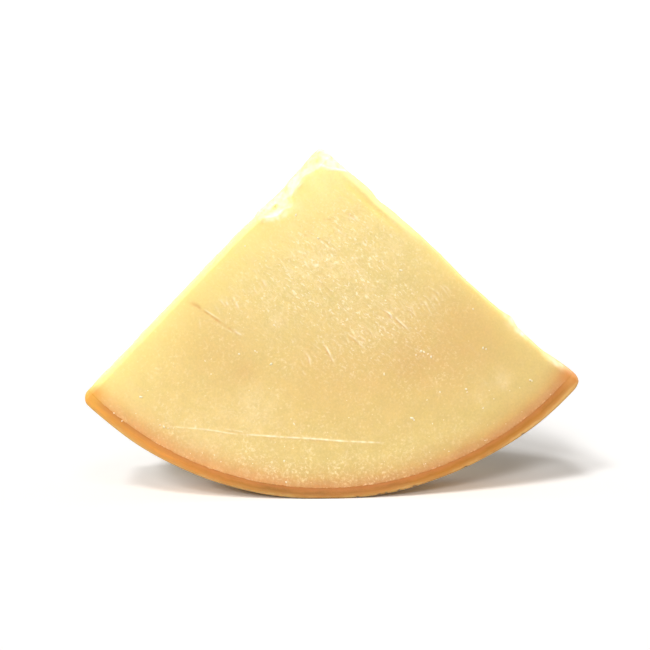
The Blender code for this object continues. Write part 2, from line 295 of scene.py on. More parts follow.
def flaked(points, x, y, z, length, left, right, rind, depth):
    """Adds the bumps, flakes, steps and waves of the real cuts to the plain wedge."""
    front, back = near_face(-y), near_face(y)
    broad = lumps(points, 45.0, 1)
    middle = lumps(points, 14.0, 2)
    small = lumps(points, 6.0, 3)
    facet = crags(points, 7.5, 4)

    # Side faces: the saw-and-split cut leaves low crags, and the edges bump in and out.
    behind = smooth(4.0, 20.0, y + THICKNESS / 2)
    rough = SIDE_CRAG * (0.7 * middle + 0.4 * small + 1.0 * facet) * (0.4 + 0.6 * behind) \
        - 0.5 * SIDE_CRAG * behind
    bumps = table(LEFT_EDGE, length)
    off_left = (bumps * (1 - behind) + 0.8 * np.minimum(bumps, 0) * behind + rough) \
        * ridge(left, EDGE_REACH) * smooth(0.0, 6.0, rind)
    bumps = table(RIGHT_EDGE, length)
    off_right = (bumps * (1 - 0.7 * behind) + 0.5 * np.minimum(bumps, 0) * behind
                 + rough * smooth(0.0, 6.0, rind)) * ridge(right, EDGE_REACH)
    near_tip = smooth(2.0, 9.0, length)
    x = x - off_left * math.cos(LEFT_ARM) * near_tip + off_right * math.cos(RIGHT_ARM) * near_tip
    z = z - off_left * math.sin(LEFT_ARM) * near_tip + off_right * math.sin(RIGHT_ARM) * near_tip

    # Rind: a little wavy on the outside, and a low step where it meets the paste.
    angle = np.arctan2(x - RIND_CENTRE[0], RIND_CENTRE[1] - z)
    wave = RIND_WAVE * lumps(np.stack([angle * RIND_RADIUS, y, 0 * y], 1), 26.0, 5) \
        * smooth(12.0, 30.0, np.abs(angle) * RIND_RADIUS)
    wave = (wave + table(RIND_SWELL, np.degrees(angle))) * ridge(rind, 6.0)
    x = x + wave * np.sin(angle)
    z = z - wave * np.cos(angle)
    band = 1 - smooth(RIND_THICKNESS - 0.5, RIND_THICKNESS + 0.5, rind)
    push = RIND_STEP * band + FACE_WAVE * (0.6 * broad + 0.3 * middle)

    # Flaked strips of the front face. They fade out towards the middle of the thickness.
    chip = strip(CHIP_WIDTH, CHIP_DEPTH, CHIP_CRAG, length, left, small, facet)
    away = np.hypot(length - PIT[0], left - PIT[1])
    chip += PIT[3] * (1 - smooth(0.0, PIT[2], away))
    corner = strip(CORNER_FLAKE_WIDTH, CORNER_FLAKE_DEPTH, CORNER_FLAKE_CRAG, length, right, small,
                   facet)
    across = x - TIP[0]
    over = z - (TIP[1] - TIP_STEP_DROP - TIP_STEP_FALL * across)
    step = TIP_STEP_DEPTH * smooth(-0.3, 0.4, over) * smooth(-4.0, 1.0, across)
    reach = np.clip(1 - (1 + depth) / FLAKE_FADE, 0, 1)
    y = y + (chip + corner + step) * reach
    y = y + (push + lip_and_groove(length, right)) * front

    behind_flake = strip(BACK_FLAKE_WIDTH, BACK_FLAKE_DEPTH, BACK_FLAKE_CRAG, length, right, small,
                         facet)
    y = y - behind_flake * np.clip(1 - (1 - depth) / FLAKE_FADE, 0, 1) - push * back
    broken = smooth(-0.2, 2.6, chip) * reach + 0.3 * smooth(0.0, 0.8, corner) * reach \
        + smooth(0.3, 1.2, step) * reach + smooth(0.0, 1.6, behind_flake) * back
    width = table(CHIP_WIDTH, length)
    beside = CHIP_GLOW * np.exp(-np.maximum(left - width, 0) / CHIP_GLOW_REACH)
    broken = np.maximum(broken, beside * smooth(0.0, 6.0, width) * front)
    z = np.maximum(z, RIND_CENTRE[1] - RIND_RADIUS + FOOT_SAGITTA)
    return x, y, z, np.clip(broken, 0, 1), front


# ---------------------------------------------------------------- marks of the blade
# Each mark is a line through pixels of the photo: points, width and height in millimetres (a
# negative height is a groove), then how much paler or, below 0, how much darker it makes the paste.
# The paler tone on raised marks is partly painted highlight, and the darker tone in grooves partly
# painted shade, on top of the relief.
CRACK = (
    (((190, 303), (199, 308), (218, 321), (242, 337)), 0.55, -0.14, -0.42),
    (((186, 300), (206, 311)), 1.3, -0.12, -0.22), (((202, 308), (224, 322)), 0.45, 0.12, 0.4),
    (((216, 323), (236, 335)), 0.4, 0.06, 0.25), (((232, 329), (243, 336)), 0.6, 0.14, 0.6))
LONG_RIDGE = (
    (((166, 426), (188, 428), (203, 429), (217, 431), (228, 433), (250, 435)), 0.4, 0.12, 0.5),
    (((240, 434), (268, 436), (283, 437), (319, 439), (341, 441), (386, 443)), 0.42, 0.2, 0.85),
    (((250, 437), (283, 439), (319, 441), (341, 443)), 0.6, -0.12, -0.12),
    (((225, 429), (250, 433)), 0.4, 0.1, 0.5), (((225, 431), (248, 434)), 0.4, -0.12, -0.4),
    (((196, 425), (195, 429)), 0.5, 0.15, 0.6))
FOLDS = (
    (((317, 239), (323, 242), (328, 247), (332, 252)), 0.5, 0.1, 0.54),
    (((331, 253), (332, 257), (327, 261)), 0.6, 0.1, 0.61),
    (((311, 263), (316, 266), (321, 265)), 0.7, 0.13, 0.61),
    (((327, 264), (334, 264), (341, 260)), 0.7, 0.1, 0.54),
    (((296, 250), (305, 254)), 0.7, 0.1, 0.54), (((290, 250), (296, 259)), 0.6, 0.09, 0.31),
    (((302, 258), (310, 270)), 0.6, 0.09, 0.39), (((282, 262), (289, 274)), 0.6, 0.09, 0.31),
    (((331, 226), (338, 230), (344, 236)), 0.7, 0.13, 0.39),
    (((335, 226), (343, 232)), 0.6, -0.17, -0.32), (((323, 240), (333, 248)), 0.6, -0.13, -0.21),
    (((298, 233), (313, 238)), 0.7, -0.1, -0.15), (((322, 220), (334, 219)), 0.6, -0.13, -0.21),
    (((345, 212), (357, 220)), 0.7, -0.14, -0.26),
    (((347, 217), (357, 219), (361, 223)), 0.7, 0.13, 0.31),
    (((363, 243), (372, 248), (380, 258)), 0.8, 0.09, 0.19),
    (((349, 262), (356, 258), (366, 256)), 0.8, 0.09, 0.24))
HAIRLINES = (
    (((290, 395), (293, 423)), 0.4, 0.05, 0.12), (((427, 373), (440, 393)), 0.4, 0.06, 0.15),
    (((470, 367), (493, 390)), 0.4, 0.05, 0.12), (((452, 331), (508, 381)), 0.35, 0.02, 0.05),
    (((199, 318), (201, 330)), 0.5, 0.1, 0.2), (((226, 315), (226, 325)), 0.5, 0.12, 0.3))
# Single strokes of the knife, each a ridge with a groove on its lower left: points, width, height.
SCORES = (
    (((381, 308), (396, 318), (410, 331)), 0.55, 0.29), (((387, 317), (403, 331)), 0.5, 0.1),
    (((371, 318), (384, 328), (388, 338)), 0.55, 0.12),
    (((362, 322), (371, 332), (375, 342)), 0.5, 0.07),
    (((347, 333), (358, 341), (366, 350)), 0.6, 0.26), (((351, 331), (359, 339)), 0.5, 0.12),
    (((356, 331), (365, 340), (371, 349)), 0.5, 0.13),
    (((323, 341), (329, 352), (336, 366)), 0.6, 0.26), (((331, 344), (336, 350)), 0.5, 0.09),
    (((308, 354), (310, 362), (312, 369)), 0.55, 0.14), (((301, 361), (305, 367)), 0.5, 0.08),
    (((316, 350), (320, 356)), 0.5, 0.08), (((426, 286), (436, 291), (443, 299)), 0.55, 0.12),
    (((404, 299), (412, 307), (417, 319)), 0.5, 0.1),
    (((416, 294), (425, 303), (433, 317)), 0.5, 0.12),
    (((423, 293), (431, 302), (437, 313)), 0.5, 0.1),
    (((403, 307), (411, 311), (419, 319)), 0.5, 0.1),
    (((232, 296), (236, 303), (239, 309)), 0.6, 0.26),
    (((226, 298), (227, 303), (228, 308)), 0.5, 0.12), (((243, 290), (247, 294)), 0.5, 0.08),
    (((252, 286), (256, 291)), 0.5, 0.08), (((262, 279), (267, 288)), 0.5, 0.1))
SCORE_GROOVE = (-0.7, -0.7)
# Rows of short faint strokes: from pixel, to pixel, pitch, reach and height in mm.
STROKE_ROWS = (((213, 309), (335, 247), 3.0, 7.0, 0.08), ((240, 280), (340, 236), 3.4, 5.0, 0.07),
               ((293, 368), (447, 290), 3.6, 9.0, 0.07))
STROKE_LEAN = math.radians(52)
STROKE_WIDTH = 0.5
STROKE_STRAY = 1.3
# How pale a single stroke and one of a row are, for each millimetre of height: painted highlight along
# the crest.
SCORE_PALE = 2.4
STROKE_PALE = 3.2
# The groove beside a stroke, against the stroke's own width and height, and its painted shade.
BESIDE_WIDTH = 1.3
BESIDE_DEPTH = 0.6
BESIDE_PAINTED_SHADE = 0.8
# Inside the chip, the white facet and step line of the broken tip, and pale bumps of the right
# edge: partly the paler broken paste, partly painted highlight on the facet and on the edges of the
# step and the chip.
CHIP_MARKS = (
    (((306, 176), (293, 192), (287, 199)), 1.3, 0.5, 0.45),
    (((289, 194), (281, 203), (275, 208)), 1.0, 0.4, 0.5),
    (((287, 205), (281, 212), (270, 217), (258, 219)), 1.1, 0.7, 0.7),
    (((270, 211), (277, 216), (279, 222)), 0.9, 0.4, 0.7),
    (((284, 191), (274, 200)), 0.9, 0.4, 0.4), (((317, 158), (305, 170)), 1.2, 0.3, 0.25),
    (((304, 167), (296, 178), (288, 189)), 1.5, -0.6, -0.08),
    (((278, 204), (275, 209), (269, 212)), 0.6, -0.4, -0.3),
    (((272, 202), (265, 209)), 1.0, -0.5, -0.1), (((264, 222), (258, 222)), 1.6, 0.3, -0.1),
    (((323, 161), (336, 164)), 2.6, 0.0, 1.1), (((326, 165), (338, 167)), 1.6, 0.3, 1.0),
    (((321, 167), (333, 169), (344, 170), (355, 175)), 0.7, 0.3, 1.0),
    (((257, 221), (270, 219), (284, 214), (293, 208)), 1.6, 0.0, 0.7),
    (((509, 316), (517, 327)), 2.6, 0.0, 0.65), (((517, 329), (527, 338)), 1.3, 0.2, 0.7),
    (((547, 356), (568, 372)), 2.0, 0.1, 0.4))
# Where the cut is wrinkled: pixel, reach in mm, strength.
ROUGH_ZONES = (((325, 262), 26.0, 1.0), ((375, 262), 30.0, 0.38), ((345, 318), 34.0, 0.6),
               ((262, 292), 24.0, 0.6), ((405, 320), 24.0, 0.5), ((360, 215), 20.0, 0.4))
# Soft patches of another tone: pixel, reach in mm, strength.
TAN_PATCHES = (
    ((318, 300), 36.0, 0.25), ((405, 352), 30.0, 0.6), ((470, 345), 26.0, 0.6),
    ((330, 378), 24.0, 0.35), ((215, 340), 22.0, 0.55), ((243, 372), 8.0, 0.5),
    ((413, 365), 9.0, 0.45), ((190, 305), 12.0, 0.4), ((338, 196), 10.0, 0.1),
    ((460, 300), 16.0, 0.35))
CREAM_PATCHES = (
    ((398, 240), 9.0, 0.5), ((255, 408), 13.0, 0.6), ((501, 380), 5.0, 0.7),
    ((322, 262), 26.0, 0.1), ((480, 393), 8.0, 0.15), ((276, 322), 5.0, 0.6),
    ((205, 432), 16.0, 0.3), ((370, 318), 18.0, 0.15), ((512, 322), 4.0, 0.9),
    ((521, 334), 3.5, 0.8))
# The rounded lower corners, where rind and paste run into each other: pixel, reach, strength.
CORNER_PATCHES = (((570, 378), 5.5, 1.0), ((560, 377), 6.0, 0.2), ((92, 396), 7.0, 1.0))
# Where white bloom and curd bits gather: pixel, reach in mm, strength.
BLOOM_PATCHES = (((205, 436), 19.0, 0.6), ((255, 460), 20.0, 0.9), ((305, 470), 20.0, 0.9),
                 ((350, 474), 18.0, 0.8), ((405, 462), 18.0, 0.6), ((445, 446), 14.0, 0.45),
                 ((500, 383), 8.0, 0.5), ((482, 396), 6.0, 0.4), ((252, 408), 14.0, 0.5),
                 ((168, 427), 9.0, 0.4), ((325, 258), 13.0, 0.75), ((298, 278), 15.0, 0.5),
                 ((352, 285), 15.0, 0.3), ((280, 212), 8.0, 0.4))
# Small dark nicks in the outer edge of the rind: pixel.
NICKS = ((358, 498), (380, 497), (387, 496), (400, 493), (415, 487), (465, 465), (520, 430))
NICK_WIDTH = 0.9
NICK_DEPTH = 0.7
NICK_FADE = (0.4, 1.8)  # in from the edge
FOOT_PAINTED_SHADE = 0.75  # painted contact shade: the rind is darkened brown where it rests on the floor
FOOT_PAINTED_SHADE_FADE = (0.2, 1.3)  # up from the foot
# Creases where the blade dragged, drawn out along the right arm, and finer ones among them.
WRINKLE = 0.3
WRINKLE_WIDTH = 4.4
FINE_WRINKLE = 0.08
FINE_WRINKLE_WIDTH = 1.9
WRINKLE_STRETCH = 2.4
# How far in from each arm the light that comes through the edge reaches.
THIN_LEFT = 15.0
THIN_RIGHT = 5.5
THIN_SHARE = 0.75  # of the left edge's glow is on the right edge
RAGGED = 0.3  # the inner edge of the rind wanders by this much
RAGGED_WIDTH = 3.0
UNEVEN = 0.8  # how much the strength of a mark varies along it
UNEVEN_WIDTH = 2.6
UNEVEN_RANGE = (0.15, 1.9)
TAPER_SHARE = 0.4
LONGEST_TAPER = 12.0
TAPERED = 0.15  # of a mark's strength is left at its ends
FINE_HEIGHT = 0.095  # faces that a mark moves by more than this are split in four
FINE_PALE = 0.2  # of how pale a mark is counts as height for that


def in_millimetres(marks):
    return [([on_face(*pixel) for pixel in pixels], *rest) for pixels, *rest in marks]


def line_distance(x, z, points):
    """How far each point lies from a line through the points."""
    nearest = np.full(len(x), np.inf)
    for start, end in zip(points, points[1:]):
        run = end - start
        along = ((x - start[0]) * run[0] + (z - start[1]) * run[1]) / (run @ run)
        along = np.clip(along, 0, 1)
        gap = np.hypot(x - start[0] - along * run[0], z - start[1] - along * run[1])
        nearest = np.minimum(nearest, gap)
    return nearest


def drawn(x, z, marks):
    """Height of the marks, which taper to their ends, and how pale and dark they make the paste."""
    height, pale, dark = np.zeros((3, len(x)))
    for points, width, rise, tone in marks:
        low = np.min(points, 0) - 3 * width
        high = np.max(points, 0) + 3 * width
        near = np.flatnonzero((x > low[0]) & (x < high[0]) & (z > low[1]) & (z < high[1]))
        on = ridge(line_distance(x[near], z[near], points), width)
        first, last = points[0], points[-1]
        taper = TAPER_SHARE * np.hypot(*(last - first))
        to_end = np.minimum(np.hypot(x[near] - first[0], z[near] - first[1]),
                            np.hypot(x[near] - last[0], z[near] - last[1]))
        on *= TAPERED + (1 - TAPERED) * smooth(0.0, min(taper, LONGEST_TAPER), to_end)
        height[near] += rise * on
        pale[near] += max(tone, 0) * on
        dark[near] += max(-tone, 0) * on
    return height, pale, dark


def knife_strokes():
    """The single strokes and the rows of short, slightly bowed ones, with a groove beside each."""
    strokes = [(points, width, rise, SCORE_PALE * rise)
               for points, width, rise in in_millimetres(SCORES)]
    for start, end, pitch, reach, rise in STROKE_ROWS:
        start, end = on_face(*start), on_face(*end)
        count = int(np.hypot(*(end - start)) / pitch)
        for i in range(count + 1):
            centre = start + (end - start) * (i + RNG.uniform(-0.3, 0.3)) / count
            centre = centre + RNG.normal(0, STROKE_STRAY, 2)
            lean = STROKE_LEAN + RNG.normal(0, 0.12)
            half = np.array([math.cos(lean), -math.sin(lean)]) * reach * RNG.uniform(0.3, 0.6)
            bow = np.array([math.sin(lean), math.cos(lean)]) * RNG.uniform(0.0, 0.08) * reach
            strong = rise * RNG.uniform(0.3, 1.2)
            strokes.append(([centre - half, centre + bow, centre + half], STROKE_WIDTH, strong,
                            STROKE_PALE * strong))
    marks = []
    for points, width, rise, pale in strokes:
        marks.append((points, width, rise, pale))
        beside = [point + SCORE_GROOVE for point in points]
        marks.append((beside, BESIDE_WIDTH * width, -BESIDE_DEPTH * rise, -BESIDE_PAINTED_SHADE * rise))
    return marks


def wrinkles(x, z):
    along = x * math.sin(RIGHT_ARM) - z * math.cos(RIGHT_ARM)
    across = x * math.cos(RIGHT_ARM) + z * math.sin(RIGHT_ARM)
    stretched = np.stack([along / WRINKLE_STRETCH, across, 0 * x], 1)
    broad = WRINKLE * (0.3 - np.abs(lumps(stretched, WRINKLE_WIDTH, 6)))
    return broad + FINE_WRINKLE * (0.3 - np.abs(lumps(stretched, FINE_WRINKLE_WIDTH, 7)))


def patches(x, z, spots):
    """Soft round patches, each from the pixel of its middle, its reach and its strength."""
    total = np.zeros_like(x)
    for pixel, reach, strength in spots:
        cx, cz = on_face(*pixel)
        total += strength * np.exp(-((x - cx) ** 2 + (z - cz) ** 2) / reach**2)
    return np.clip(total, 0, 1)


class Marks:
    """All the fine marks of the front cut. Made once, so that they can be read on two grids."""

    def __init__(self):
        self.blade = in_millimetres(CRACK + LONG_RIDGE + FOLDS + HAIRLINES) + knife_strokes()
        self.chip = in_millimetres(CHIP_MARKS)

    def read(self, x, z, rind, front, facing):
        """Height of the marks, and how pale and how dark they make each point."""
        uneven = 1 + UNEVEN * lumps(np.stack([x, 0 * x, z], 1), UNEVEN_WIDTH, 8)
        uneven = np.clip(uneven, *UNEVEN_RANGE)
        height, pale, dark = (value * front * uneven for value in drawn(x, z, self.blade))
        height += wrinkles(x, z) * patches(x, z, ROUGH_ZONES) * front
        for total, value in zip((height, pale, dark), drawn(x, z, self.chip)):
            total += value * facing * uneven

        angle = np.arctan2(x - RIND_CENTRE[0], RIND_CENTRE[1] - z)
        for pixel in NICKS:
            cx, cz = on_face(*pixel)
            middle = math.atan2(cx - RIND_CENTRE[0], RIND_CENTRE[1] - cz)
            nick = ridge((angle - middle) * RIND_RADIUS, NICK_WIDTH)
            nick *= (1 - smooth(*NICK_FADE, rind)) * (front > 0)
            height -= NICK_DEPTH * nick
            dark += nick
        return height, np.clip(pale, 0, 1), np.clip(dark, 0, 1)


# ---------------------------------------------------------------- the mesh
def graded(stops):
    """Values from the first stop to the last: each stop gives where it ends and its step."""
    values = [stops[0]]
    for end, step in stops[1:]:
        count = max(1, round((end - values[-1]) / step))
        values += list(np.linspace(values[-1], end, count + 1)[1:])
    return np.array(values)


# Where each stretch ends and its step, in from an arm, in from the rind, away from the tip, and
# from the front (-1) to the back (1).
ROUND_STEPS = (0.0, (0.1, 0.1), (0.3, 0.2), (0.7, 0.4), (1.3, 0.6), (4.0, 0.68), (14.0, 0.8))
RIM_STEPS = (0.0, (0.08, 0.08), (0.25, 0.17), (0.6, 0.35), (1.1, 0.5), (2.4, 0.65), (6.6, 0.84),
             (7.8, 0.24), (20.0, 0.9))
INNER_STEPS = (FIRST_RING, (60.0, 0.82), (MEAN_LENGTH - RIM_ZONE, 0.92))
DEPTH_STEPS = (-1.0, (-0.7, 0.05), (1.0, 0.075))
HALVED_LOOP = 5  # the loop behind the front face that has half its points
# Distance from the tip, then how many faces lie between the two edge zones from there.
FAN_LEVELS = ((0.0, 16), (15.0, 32), (28.0, 64), (46.0, 128), (85.0, 256))


def even(values):
    """Drops one inner value if the number of steps is odd."""
    return values if len(values) % 2 else np.delete(values, len(values) // 2)


def wedge_grid():
    """Front-face rings as (row, columns), from the tip to the rind."""
    inner = even(graded(INNER_STEPS))
    rim = even(graded(RIM_STEPS))
    rows = (inner - inner[0]) / (inner[-1] - inner[0]) * (1 - RIM_SHARE)
    rows = np.concatenate([rows, 1 - RIM_SHARE * rim[::-1][1:] / RIM_ZONE])
    lengths = np.concatenate([inner, MEAN_LENGTH - rim[::-1][1:]])
    edge = even(graded(ROUND_STEPS)) / EDGE_ZONE * EDGE_SHARE
    rings = []
    for i, row in enumerate(rows):
        count = [n for start, n in FAN_LEVELS if lengths[i - i % 2] >= start or not start][-1]
        middle = np.linspace(-1 + EDGE_SHARE, 1 - EDGE_SHARE, count + 1)
        rings.append((row, np.concatenate([edge[:-1] - 1, middle, 1 - edge[::-1][1:]]), count))
    return rings, len(edge) - 1


def fan_faces(rings, starts, edges):
    """Faces between rings. Where the next ring has twice as many middle columns, a face has 5."""
    faces = []
    for i in range(len(rings) - 1):
        a, b = starts[i], starts[i + 1]
        count, twice = rings[i][2], rings[i + 1][2] == 2 * rings[i][2]
        for j in range(edges):
            faces.append((b + j, b + j + 1, a + j + 1, a + j))
        a, b = a + edges, b + edges
        for j in range(count):
            if twice:
                faces.append((b + 2 * j, b + 2 * j + 1, b + 2 * j + 2, a + j + 1, a + j))
            else:
                faces.append((b + j, b + j + 1, a + j + 1, a + j))
        a, b = a + count, b + (2 * count if twice else count)
        for j in range(edges):
            faces.append((b + j, b + j + 1, a + j + 1, a + j))
    return faces


def fan_rim(rings, starts):
    """The fan's outline as a closed loop of vertices: left arm, rind, right arm, tip."""
    left = [starts[i] for i in range(len(rings))]
    last = [starts[i] + len(rings[i][1]) - 1 for i in range(len(rings))]
    rind = [starts[-1] + j for j in range(1, len(rings[-1][1]))]
    tip = [starts[0] + j for j in range(len(rings[0][1]) - 2, 0, -1)]
    return left + rind + last[-2::-1] + tip


def build_grid():
    """All vertices as (row, column, depth), and all faces."""
    rings, edges = wedge_grid()
    grid, faces, starts = [], [], []
    for row, columns, _ in rings:
        starts.append(len(grid))
        grid += [(row, column, -1.0) for column in columns]
    faces += fan_faces(rings, starts, edges)
    loop = fan_rim(rings, starts)

    for k, depth in enumerate(graded(DEPTH_STEPS)[1:-1], start=1):
        kept = loop[::2] if k == HALVED_LOOP else loop
        start = len(grid)
        grid += [(grid[v][0], grid[v][1], depth) for v in kept]
        new = list(range(start, start + len(kept)))
        n = len(new)
        for j in range(n):
            if k == HALVED_LOOP:
                after = loop[(2 * j + 2) % len(loop)]
                faces.append((loop[2 * j], new[j], new[(j + 1) % n], after, loop[2 * j + 1]))
            else:
                faces.append((loop[j], new[j], new[(j + 1) % n], loop[(j + 1) % n]))
        loop = new

    coarse = [(row, columns[::2], count // 2) for row, columns, count in rings[::2]]
    starts = []
    for row, columns, _ in coarse:
        starts.append(len(grid))
        grid += [(row, column, 1.0) for column in columns]
    faces += [face[::-1] for face in fan_faces(coarse, starts, edges // 2)]
    rim = fan_rim(coarse, starts)
    n = len(rim)
    for j in range(n):
        faces.append((loop[j], rim[j], rim[(j + 1) % n], loop[(j + 1) % n]))
    return np.array(grid), faces


def refined(grid, faces, chosen):
    """Splits the chosen four-sided faces in four. Their neighbours take in the new edge points."""
    grid = list(grid)
    halves = {}
    for i in chosen:
        for a, b in zip(faces[i], faces[i][1:] + faces[i][:1]):
            if (min(a, b), max(a, b)) not in halves:
                halves[min(a, b), max(a, b)] = len(grid)
                grid.append((grid[a] + grid[b]) / 2)
    split = []
    for i, face in enumerate(faces):
        ring = []
        for a, b in zip(face, face[1:] + face[:1]):
            half = halves.get((min(a, b), max(a, b)))
            ring += [a] if half is None else [a, half]
        if i in chosen:
            split += [(ring[k], ring[k + 1], len(grid), ring[k - 1]) for k in (0, 2, 4, 6)]
            grid.append(sum(grid[v] for v in face) / 4)
        else:
            split.append(tuple(ring))
    return np.array(grid), split


def cheese_slab():
    """The slab as one closed mesh, with how broken, pale, dark, rough or toned each point is."""
    marks = Marks()
    grid, faces = build_grid()
    x, y, z, _, _, _, rind = placed(*grid.T)
    facing = grid[:, 2] == -1.0
    height, pale, _ = marks.read(x, z, rind, facing, facing)
    fine = facing & (np.abs(height) + FINE_PALE * pale > FINE_HEIGHT)
    chosen = {i for i, face in enumerate(faces) if len(face) == 4 and fine[list(face)].any()
              and facing[list(face)].all()}
    grid, faces = refined(grid, faces, chosen)

    row, column, depth = grid.T
    x, y, z, length, left, right, rind = placed(row, column, depth)
    points = np.stack([x, y, z], 1)
    x, y, z, broken, front = flaked(points, x, y, z, length, left, right, rind, depth)
    back = near_face(y)
    middle = ((x.min() + x.max()) / 2, (y.min() + y.max()) / 2, z.min())
    height, pale, dark = marks.read(x, z, rind, front, depth < -0.9)
    # Painted contact shade: the rind darkens brown towards the floor it rests on.
    dark = np.maximum(dark, FOOT_PAINTED_SHADE * (1 - smooth(*FOOT_PAINTED_SHADE_FADE, z - middle[2])))
    y = y - height
    co = np.clip((np.stack([x, y, z], 1) - middle) * MM, *np.array(CAD_BOX))

    mesh = bpy.data.meshes.new("cheese_slab")
    mesh.from_pydata(co.tolist(), [], faces)
    inside = smooth(RIND_THICKNESS - 1, RIND_THICKNESS + 3, rind)
    shown = {
        "broken": broken,
        "pale": pale,
        "dark": dark,
        "rough": patches(x, z, ROUGH_ZONES) * front + patches(-x, z, ROUGH_ZONES) * back,
        "tan": patches(x, z, TAN_PATCHES) * (1 - back) + patches(-x, z, TAN_PATCHES) * back,
        "cream": patches(x, z, CREAM_PATCHES) * (1 - back),
        "bloom": patches(x, z, BLOOM_PATCHES) * (1 - back) + patches(-x, z, BLOOM_PATCHES) * back,
        "split": (1 - front) * (1 - back) * inside,
        # Painted glow: nearness to a thin edge, where the paste is painted yellower as if lit through.
        "thin": np.maximum(np.exp(-(left + 1) / THIN_LEFT) * smooth(3.0, 15.0, rind),
                           THIN_SHARE * np.exp(-(right + 1) / THIN_RIGHT) * smooth(6.0, 50.0, rind)),
        "corner": patches(x, z, CORNER_PATCHES),
        "groove": lip_and_groove(length, right) * front,
    }
    for name, values in shown.items():
        layer = mesh.attributes.new(name, "FLOAT", "POINT")
        layer.data.foreach_set("value", values.astype(np.float32))
    mesh.shade_smooth()
    mesh.materials.append(paste_material(middle))
    mesh.materials.append(rind_material(middle))
    ragged = rind + RAGGED * lumps(np.stack([x, y, z], 1), RAGGED_WIDTH, 9)
    in_rind = [int(np.mean(ragged[list(face)]) < RIND_THICKNESS) for face in faces]
    mesh.polygons.foreach_set("material_index", in_rind)
    slab = bpy.data.objects.new("cheese_slab", mesh)
    bpy.context.scene.collection.objects.link(slab)
    return slab, middle


# ---------------------------------------------------------------- crystals
# White crystals that stand out of the front cut: pixel of the photo, width in mm.
FRONT_CRYSTALS = (
    ((239, 354), 1.7), ((255, 351), 1.5), ((257, 352), 1.0), ((271, 364), 2.1), ((141, 397), 2.0),
    ((294, 424), 1.6), ((291, 419), 0.9), ((114, 413), 1.5), ((122, 421), 1.1), ((211, 374), 1.0),
    ((274, 325), 1.2), ((284, 461), 1.5), ((286, 482), 1.1), ((205, 361), 0.9), ((296, 215), 1.5),
    ((245, 246), 1.3), ((266, 261), 1.0), ((421, 351), 1.6), ((424, 352), 1.2), ((428, 354), 1.3),
    ((431, 357), 2.1), ((416, 355), 1.1), ((483, 348), 1.5), ((486, 349), 1.2), ((384, 374), 1.7),
    ((440, 392), 1.3), ((427, 400), 1.0), ((412, 418), 2.3), ((414, 420), 1.2), ((466, 389), 1.9),
    ((467, 392), 1.1), ((530, 380), 1.6), ((532, 381), 1.2), ((473, 309), 1.2), ((401, 270), 1.9),
    ((318, 238), 1.3), ((483, 408), 1.3), ((164, 427), 1.4), ((160, 425), 1.2), ((168, 428), 1.0))
RIM_CRYSTALS = 60
FACE_CRYSTALS = 24
SPLIT_CRYSTALS = 60
# Where the scattered ones lie, in from the rind or out from its centre as a share of its radius,
# and how wide they are.
RIM_REACH = (8.5, 34.0)
FACE_REACH = (0.3, 0.8)
RIM_WIDTHS = (0.45, 0.9)
FACE_WIDTHS = (0.4, 0.9)
# On the split sides: distance from the tip, share of the thickness, and widths.
SPLIT_LENGTHS = (20, 190)
SPLIT_DEPTHS = (-0.42, 0.42)
SPLIT_WIDTHS = (0.7, 1.8)
CRYSTAL_STANDS = 0.12  # of its width, the middle of a crystal stands out of the cut


def crystal_spots(tree, middle):
    """Place, facing and width of each crystal: those seen in the photo, then a seeded scatter."""
    aims = []
    for pixel, width in FRONT_CRYSTALS:
        x, z = on_face(*pixel)
        aims.append(((x - middle[0], -THICKNESS, z - middle[2]), (0, 1, 0), width))
    for i in range(RIM_CRYSTALS + FACE_CRYSTALS):
        angle = RNG.uniform(LEFT_ARM + 0.05, RIGHT_ARM - 0.05) * 0.95
        in_rim = i < RIM_CRYSTALS
        inward = RNG.uniform(*RIM_REACH) if in_rim else RIND_RADIUS * (1 - RNG.uniform(*FACE_REACH))
        x = RIND_CENTRE[0] + (RIND_RADIUS - inward) * math.sin(angle)
        z = RIND_CENTRE[1] - (RIND_RADIUS - inward) * math.cos(angle)
        side = 1 if i % 3 else -1
        width = RNG.uniform(*(RIM_WIDTHS if in_rim else FACE_WIDTHS))
        aims.append(((x - middle[0], -THICKNESS * side, z - middle[2]), (0, side, 0), width))
    for i in range(SPLIT_CRYSTALS):
        arm = LEFT_ARM if i % 2 else RIGHT_ARM
        length, y = RNG.uniform(*SPLIT_LENGTHS), RNG.uniform(*SPLIT_DEPTHS) * THICKNESS
        side = -1 if i % 2 else 1
        out = Vector((math.cos(arm) * side, 0, math.sin(arm) * side))
        on_arm = Vector((TIP[0] + length * math.sin(arm), y, TIP[1] - length * math.cos(arm)))
        aims.append((on_arm - Vector(middle) + out * 20, -out, RNG.uniform(*SPLIT_WIDTHS)))
    for start, direction, width in aims:
        place, normal, _, _ = tree.ray_cast(Vector(start) * MM, Vector(direction))
        if place is not None:
            yield place, normal, width


